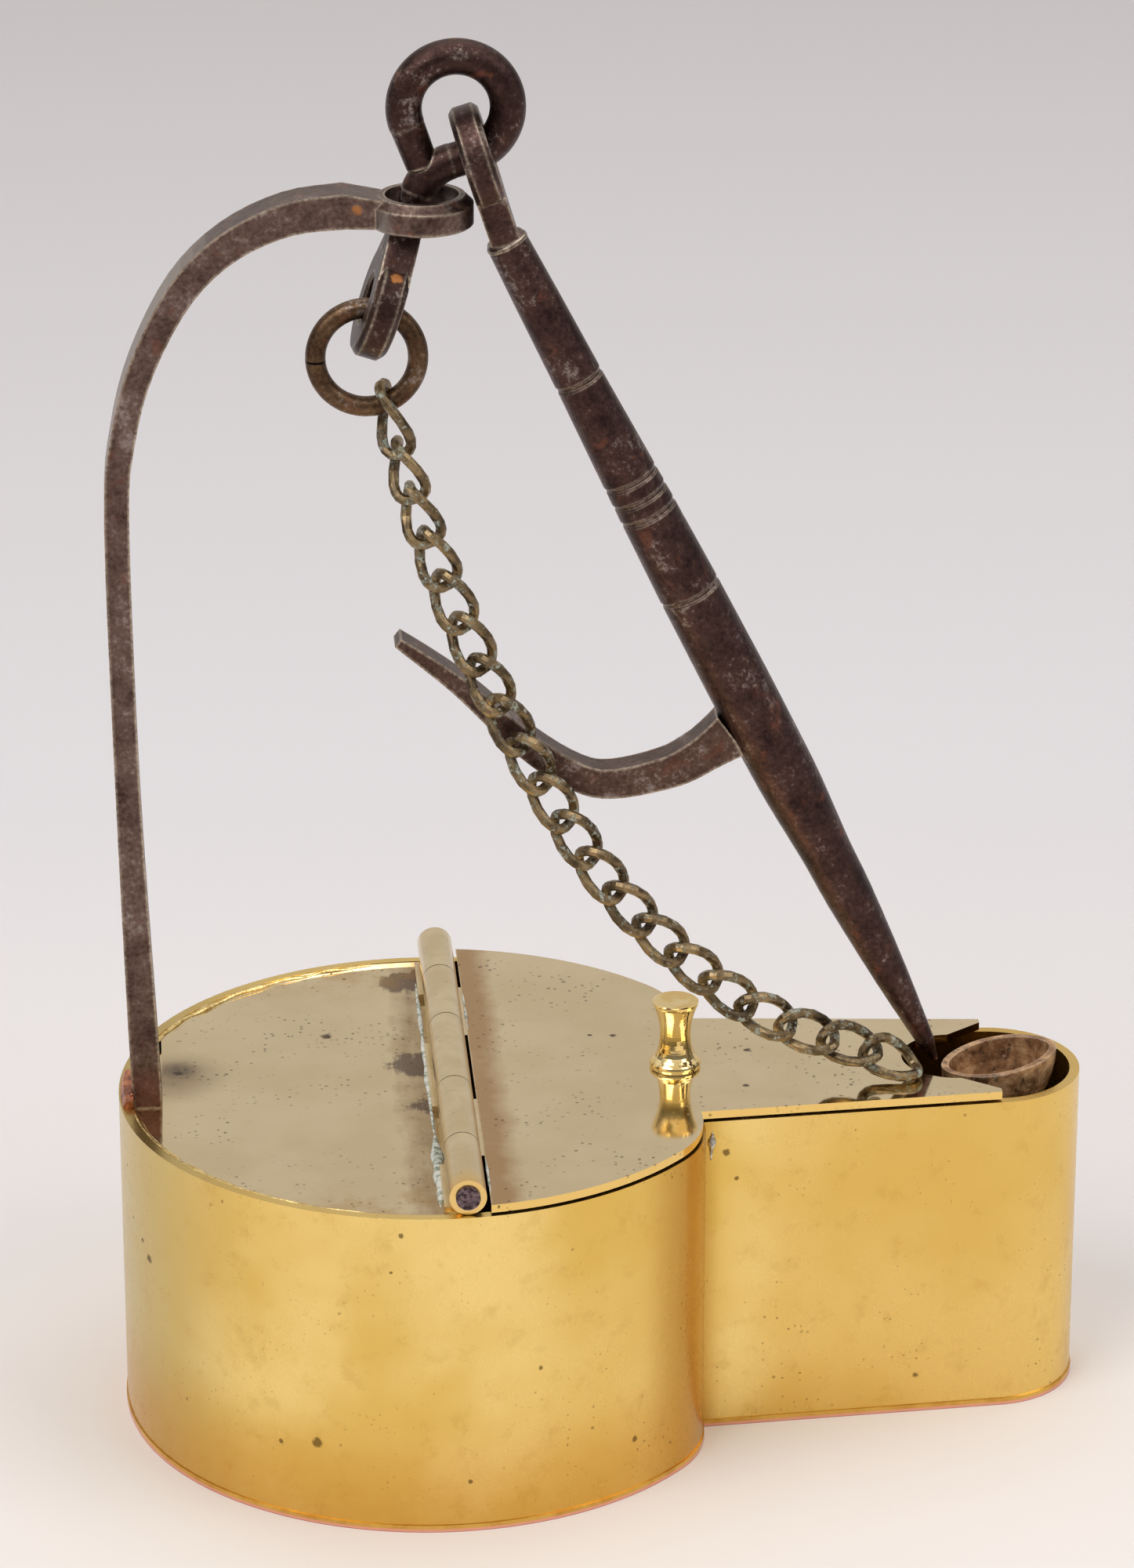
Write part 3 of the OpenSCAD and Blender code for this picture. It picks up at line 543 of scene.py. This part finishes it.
# The strap's third colour, a pale grey, is a painted reflection on its face towards -X.
STRAP_DARK, STRAP_MID, STRAP_REFLECTION = srgb(60, 42, 38), srgb(112, 92, 84), srgb(176, 166, 158)
HOOK_DARK, HOOK_MID = srgb(50, 34, 30), srgb(98, 76, 66)
RING_DARK, RING_MID = srgb(50, 34, 24), srgb(104, 80, 58)
FINISHES = {
    "side": font_brass(),
    "top": top_brass(),
    "hinge": hinge_brass(),
    "knob": knob_brass_painted_highlight(),
    "copper": base_copper(),
    "braze": braze(),
    "solder": solder(),
    "rim": rim_solder(),
    "residue": residue(),
    "strap": iron("strap_iron", STRAP_DARK, STRAP_MID, brazed=((-7.5, -2.6, 153.2, 0.8),),
                  reflection_paint=STRAP_REFLECTION, heated=(-34.5, -2.6, 42, 4.5)),
    "swivel": iron("swivel_iron", IRON_DARK, IRON_BROWN,
                   brazed=((-3.1, -4.9, 145.6, 0.8), (-1.4, -2.4, 153.8, 0.7))),
    "spike": iron("spike_iron", IRON_DARK, IRON_MID, brazed=((6.7, -1.8, 152.4, 0.6),)),
    "hook": iron("hook_iron", HOOK_DARK, HOOK_MID),
    "ring": iron("ring_iron", RING_DARK, RING_MID, seam=(-9.5, 134.3)),
    "pin": pin_iron(),
    "chain": chain_brass(),
    "burnt": burnt_brass(),
}
FINISH_OF = {
    "font_wall": "side", "base_plate": "copper", "rear_plate": "top", "lid": "top",
    "hinge_barrel_back": "hinge", "hinge_barrel_middle": "hinge", "hinge_barrel_front": "hinge",
    "lid_knuckles": "hinge", "lid_knob": "knob", "hinge_pin": "pin", "bail": "strap",
    "bail_braze": "braze", "wick_trough": "burnt", "trough_leg": "burnt", "swivel": "swivel",
    "spike": "spike", "spike_braze": "spike", "side_hook": "hook", "chain_ring": "ring",
}


def put_on(piece, material):
    """Gives a piece one finish on all of its slots."""
    if not piece.data.materials:
        piece.data.materials.append(material)
    for slot in piece.material_slots:
        slot.link = "OBJECT"
        slot.material = material


for name, piece in NODES.items():
    put_on(piece, FINISHES[FINISH_OF.get(name, "chain")])


# Surfaces
def grid_quads(rows, columns, wrapped):
    """Quads between the neighbours of a grid; wrapped also joins its last column to its first."""
    u, v = np.meshgrid(np.arange(rows - 1), np.arange(columns if wrapped else columns - 1),
                       indexing="ij")
    row, next_row, beside = u * columns, (u + 1) * columns, (v + 1) % columns
    return np.stack([row + v, next_row + v, next_row + beside, row + beside], -1).reshape(-1, 4)


def add_mesh(name, points, faces, closed):
    """A smooth mesh object at the origin; a closed one has its faces turned outwards."""
    mesh = bpy.data.meshes.new(name)
    mesh.from_pydata(points.tolist(), [], faces)
    if closed:
        shell = bmesh.new()
        shell.from_mesh(mesh)
        bmesh.ops.recalc_face_normals(shell, faces=shell.faces)
        shell.to_mesh(mesh)
        shell.free()
    mesh.polygons.foreach_set("use_smooth", np.ones(len(mesh.polygons), dtype=bool))
    made = bpy.data.objects.new(name, mesh)
    bpy.context.scene.collection.objects.link(made)
    return made


def closed_tube(name, rings, start, end):
    """Rings of points (count, sides, 3) joined by quads, with a fan to a pole at either end."""
    count, sides = rings.shape[:2]
    around = np.arange(sides)
    following = (around + 1) % sides
    last = (count - 1) * sides
    start_pole, end_pole = np.full(sides, count * sides), np.full(sides, count * sides + 1)
    start_fan = np.stack([around, following, start_pole], -1)
    end_fan = np.stack([last + following, last + around, end_pole], -1)
    faces = grid_quads(count, sides, True).tolist() + start_fan.tolist() + end_fan.tolist()
    points = np.concatenate([rings.reshape(-1, 3), [start, end]])
    return add_mesh(name, points, faces, True)


# Solder, braze and residue
BEAD_SIDES = 12
LEAST_SECTIONS, SECTIONS_A_POINT = 24, 10
WAVES, SLOWEST_WAVE, FASTEST_WAVE, WAVE_RUN_MM = 6, 3, 17, 12
SWELL = 0.13
SUNK = 0.33
THINNEST = 1e-4
UP = (0, 0, 1)
NEAR_SIDE, FAR_SIDE = (0.1, -1, 0), (0.1, 1, 0)
FILLET_RISE, CRUST_SUNK, RIM_LIFT = 0.3, 0.02, 0.12
PLATE_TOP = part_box("rear_plate")[1][2] / MM - FILLET_RISE
LID_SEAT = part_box("lid")[1][2] / MM - CRUST_SUNK
RIM_R = 36.55
RIM_RUN = np.radians(np.linspace(176, 262, 40))


def bead(name, body, finish, slot, route, up, half_width, height, seed, taper):
    """A run of metal or crust along a route, in millimetres.

    Each section is a flattened ellipse: across it the cosine of the angle times the half width,
    and along up the sine times the height, but only a third of that below the route, which is
    sunk in the surface. Both swell and shrink along the run by a sum of sines, and close to a
    point at either end by the taper's power of a half sine.
    """
    route = np.array(route, float)
    reach = np.concatenate([[0], np.cumsum(np.linalg.norm(np.diff(route, axis=0), axis=1))])
    t = np.linspace(0, 1, max(LEAST_SECTIONS, SECTIONS_A_POINT * len(route)))
    line = np.stack([np.interp(t * reach[-1], reach, route[:, k]) for k in range(3)], -1)
    up = np.array(up, float) / np.linalg.norm(up)
    across = np.cross(np.gradient(line, axis=0), up)
    across /= np.linalg.norm(across, axis=1, keepdims=True)
    rng = np.random.default_rng(seed)
    waves = rng.uniform(SLOWEST_WAVE, FASTEST_WAVE, (2, WAVES)) * max(1.0, reach[-1] / WAVE_RUN_MM)
    shifts = rng.uniform(0, 2 * np.pi, (2, WAVES))
    swell = 1 + SWELL * np.sin(waves[:, :, None] * t + shifts[:, :, None]).sum(1)
    close = np.maximum(np.sin(np.pi * t), THINNEST) ** taper
    width = half_width * close * swell[0]
    rise = height * close * swell[1]
    angle = np.linspace(0, 2 * np.pi, BEAD_SIDES, endpoint=False)
    lift = np.sin(angle) * np.where(np.sin(angle) > 0, 1, SUNK)
    rings = (line[:, None] + across[:, None] * (width[:, None] * np.cos(angle))[..., None]
             + up * (rise[:, None] * lift)[..., None])
    piece = closed_tube(name, rings[1:-1] * MM, line[0] * MM, line[-1] * MM)
    put_on(piece, FINISHES[finish])
    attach(piece, body)


def level(height, *places):
    """A route through x and y places at one height."""
    return [(x, y, height) for x, y in places]


def rim_route(side):
    """An arc along the rear plate's rim: the cosine and sine of the run times its radius."""
    return np.stack([RIM_R * np.cos(RIM_RUN), side * RIM_R * np.sin(RIM_RUN),
                     np.full(RIM_RUN.shape, PLATE_TOP + RIM_LIFT)], -1)


# Each row: name, body, finish, slot, route, up, half width, height, seed, taper
BEADS = (
    ("solder_rim_near", "font", "rim", "brass", rim_route(1), UP, 0.42, 0.3, 41, 0.3),
    ("solder_rim_far", "font", "rim", "brass", rim_route(-1), UP, 0.42, 0.3, 39, 0.3),
    ("residue_hinge_near", "font", "residue", "brass",
     level(PLATE_TOP, (-0.5, -34.2), (-0.25, -29), (-0.15, -22), (-0.12, -14)),
     UP, 0.75, 0.5, 3, 0.8),
    ("residue_hinge_far", "font", "residue", "brass",
     level(PLATE_TOP, (-0.16, -15), (-0.2, 2), (-0.16, 16), (-0.2, 31)),
     UP, 0.3, 0.22, 5, 0.4),
    ("residue_lid_edge", "lid", "residue", "brass",
     level(LID_SEAT, (5.4, -34.4), (5.38, -24.5)), UP, 0.16, 0.12, 7, 0.4),
    ("residue_lid_far", "lid", "residue", "brass",
     level(LID_SEAT, (5.42, 12), (5.4, 24)), UP, 0.14, 0.1, 8, 0.4),
    ("solder_neck_near", "font", "solder", "brass",
     ((33.3, -13.9, 36.2), (33.4, -13.92, 38), (33.5, -13.93, 40.1)),
     NEAR_SIDE, 0.36, 0.3, 11, 0.5),
    ("solder_neck_far", "font", "solder", "brass",
     ((33.3, 13.9, 34), (33.4, 13.92, 37), (33.5, 13.93, 40.4)),
     FAR_SIDE, 0.34, 0.24, 12, 0.5),
    ("solder_eye_upper", "swivel", "solder", "iron",
     ((-4.1, -2.1, 148.6), (-3.3, -2.15, 148.4), (-2.6, -2.05, 148.7)),
     (0.1, -1, 0.3), 0.5, 0.42, 21, 0.5),
    ("solder_eye_lower", "swivel", "solder", "iron",
     ((-4.3, -3.4, 146.9), (-3.6, -3.5, 147.0)), (0.1, -1, 0.4), 0.42, 0.36, 22, 0.5),
    ("braze_foot_near", "font", "braze", "copper",
     ((-36.6, -3.0, 41.35), (-36.3, -3.1, 42.6)), (-0.5, -1, 0), 0.5, 0.35, 31, 0.5),
)
for row in BEADS:
    bead(*row)


# Floor and backdrop
FLOOR_HALF = 3.0
TURN_START, TURN_R = 1.6, 0.6
RISE_START, RISE_END = 0.4, 3.0
PAPER_FRONT_MM, PAPER_SPAN_MM = 80.0, 800.0
FAR_START_MM, FAR_FULL_MM = 600, 1300
BACKDROP = srgb(208, 202, 197)


def sweep_floor():
    """A floor that turns up into a backdrop: a straight run, a quarter circle and a rise.

    That profile lies across Y and Z and is carried along X.
    """
    run = np.linspace(-FLOOR_HALF, TURN_START, 12)
    turn = np.linspace(0, math.pi / 2, 24)[1:]
    rise = np.linspace(RISE_START, RISE_END, 4)
    y = np.concatenate([run, TURN_START + TURN_R * np.sin(turn),
                        np.full(rise.shape, TURN_START + TURN_R)])
    z = np.concatenate([0 * run, TURN_R * (1 - np.cos(turn)), TURN_R + rise])
    x = np.linspace(-FLOOR_HALF, FLOOR_HALF, 8)
    across, along = np.meshgrid(x, y, indexing="ij")
    points = np.stack([across, along, np.broadcast_to(z, across.shape)], -1)
    quads = grid_quads(len(x), len(y), False)
    return add_mesh("floor", points.reshape(-1, 3), quads.tolist(), False)


def floor_paper():
    """Matt paper, warm in front and greyer behind; the greying towards the back is painted shade.

    Far behind, metal and the camera see it at the backdrop's own colour, whatever light falls
    there.
    """
    m = Finish("paper", Roughness=0.9, Specular_IOR_Level=0.1)
    # Painted shade: the paper darkens from warm in front to grey behind.
    warm, grey, cool = srgb(240, 233, 229), srgb(222, 218, 219), srgb(205, 200, 200)
    depth = m.axis("Y")
    share = (depth + PAPER_FRONT_MM) / PAPER_SPAN_MM
    m.complete(m.ramp(share, (0.0, warm), (0.35, grey), (1.0, cool)))
    path = m.make.node("ShaderNodeLightPath")
    seen = m.wire(path.outputs["Is Camera Ray"]).most(m.wire(path.outputs["Is Glossy Ray"]))
    far = depth.step(FAR_START_MM, FAR_FULL_MM)
    glow = m.make.node("ShaderNodeEmission", None, Color=BACKDROP, Strength=1.0)
    mixed = m.make.node("ShaderNodeMixShader", None, Fac=seen * far)
    m.make.feed(mixed, 1, m.shader.outputs[0])
    m.make.feed(mixed, 2, glow.outputs[0])
    m.make.feed(m.out, "Surface", mixed.outputs[0])
    return m.material


floor = sweep_floor()
put_on(floor, floor_paper())


# Light
LIT_PLACE = (0.02, 0.05, 0.05)
# Each lamp: name, place, width and depth in metres, watts
LAMPS = (
    ("key", (-0.9, -0.8, 1.4), (1.1, 1.1), 14),
    ("fill", (1.2, -0.7, 1.1), (1.1, 1.2), 8),
    ("top", (0.1, 0.5, 1.7), (1.8, 1.2), 12),
)
SKY_GREY = (0.9, 0.885, 0.88)
SKY_LIGHT = 0.42
GLOSSY_LOSS = 0.2
OVERHEAD_START, OVERHEAD_FULL, OVERHEAD_GLOSS = 0.22, 0.5, 0.62


def direction_euler(ahead):
    """Turn that points local -Z along ahead with local Y up."""
    rise = math.atan2(ahead[2], math.hypot(ahead[0], ahead[1]))
    return (math.pi / 2 + rise, 0, math.atan2(ahead[1], ahead[0]) - math.pi / 2)


def soft_light(name, place, size, power):
    """A broad rectangular lamp that looks at the lit place."""
    lamp = bpy.data.lights.new(name, "AREA")
    lamp.shape = "RECTANGLE"
    lamp.size, lamp.size_y = size
    lamp.energy = power
    stand = bpy.data.objects.new(name, lamp)
    stand.location = place
    stand.rotation_euler = direction_euler(np.subtract(LIT_PLACE, place))
    bpy.context.scene.collection.objects.link(stand)


def studio_world():
    """A plain pale world; gloss sees it darker at the sides and brighter overhead."""
    world = bpy.data.worlds.new("studio")
    world.use_nodes = True
    world.node_tree.nodes.clear()
    sky = Maker(world.node_tree)
    path = sky.node("ShaderNodeLightPath")
    glossy = Wire(sky, path.outputs["Is Glossy Ray"])
    way = sky.node("ShaderNodeTexCoord").outputs["Generated"]
    height = Wire(sky, sky.node("ShaderNodeSeparateXYZ", None, Vector=way).outputs["Z"])
    overhead = height.step(OVERHEAD_START, OVERHEAD_FULL)
    strength = SKY_LIGHT + glossy * (overhead * OVERHEAD_GLOSS - GLOSSY_LOSS)
    background = sky.node("ShaderNodeBackground", None, Color=SKY_GREY, Strength=strength)
    sky.node("ShaderNodeOutputWorld", None, Surface=background.outputs[0])
    return world


for row in LAMPS:
    soft_light(*row)
bpy.context.scene.world = studio_world()


# Camera
VIEW_AZIMUTH = math.radians(-4.237)
VIEW_ELEVATION = math.radians(22.035)
VIEW_DISTANCE = 705.544 * MM
VIEW_SHIFT = 16.852 * MM
VIEW_HEIGHT = 80.775 * MM
LENS_MM = 135.0
SENSOR_MM = 36.0

right = np.array([math.cos(VIEW_AZIMUTH), math.sin(VIEW_AZIMUTH), 0])
to_viewer = np.array([math.sin(VIEW_AZIMUTH), -math.cos(VIEW_AZIMUTH), 0])
upwards = np.array(UP)
towards = to_viewer * math.cos(VIEW_ELEVATION) + upwards * math.sin(VIEW_ELEVATION)
lens = bpy.data.cameras.new("camera")
lens.sensor_fit = "VERTICAL"
lens.sensor_height = SENSOR_MM
lens.lens = LENS_MM
camera = bpy.data.objects.new("camera", lens)
camera.location = right * VIEW_SHIFT + upwards * VIEW_HEIGHT + towards * VIEW_DISTANCE
camera.rotation_euler = direction_euler(-towards)
bpy.context.scene.collection.objects.link(camera)
bpy.context.scene.camera = camera
bpy.context.scene.view_settings.view_transform = "Standard"
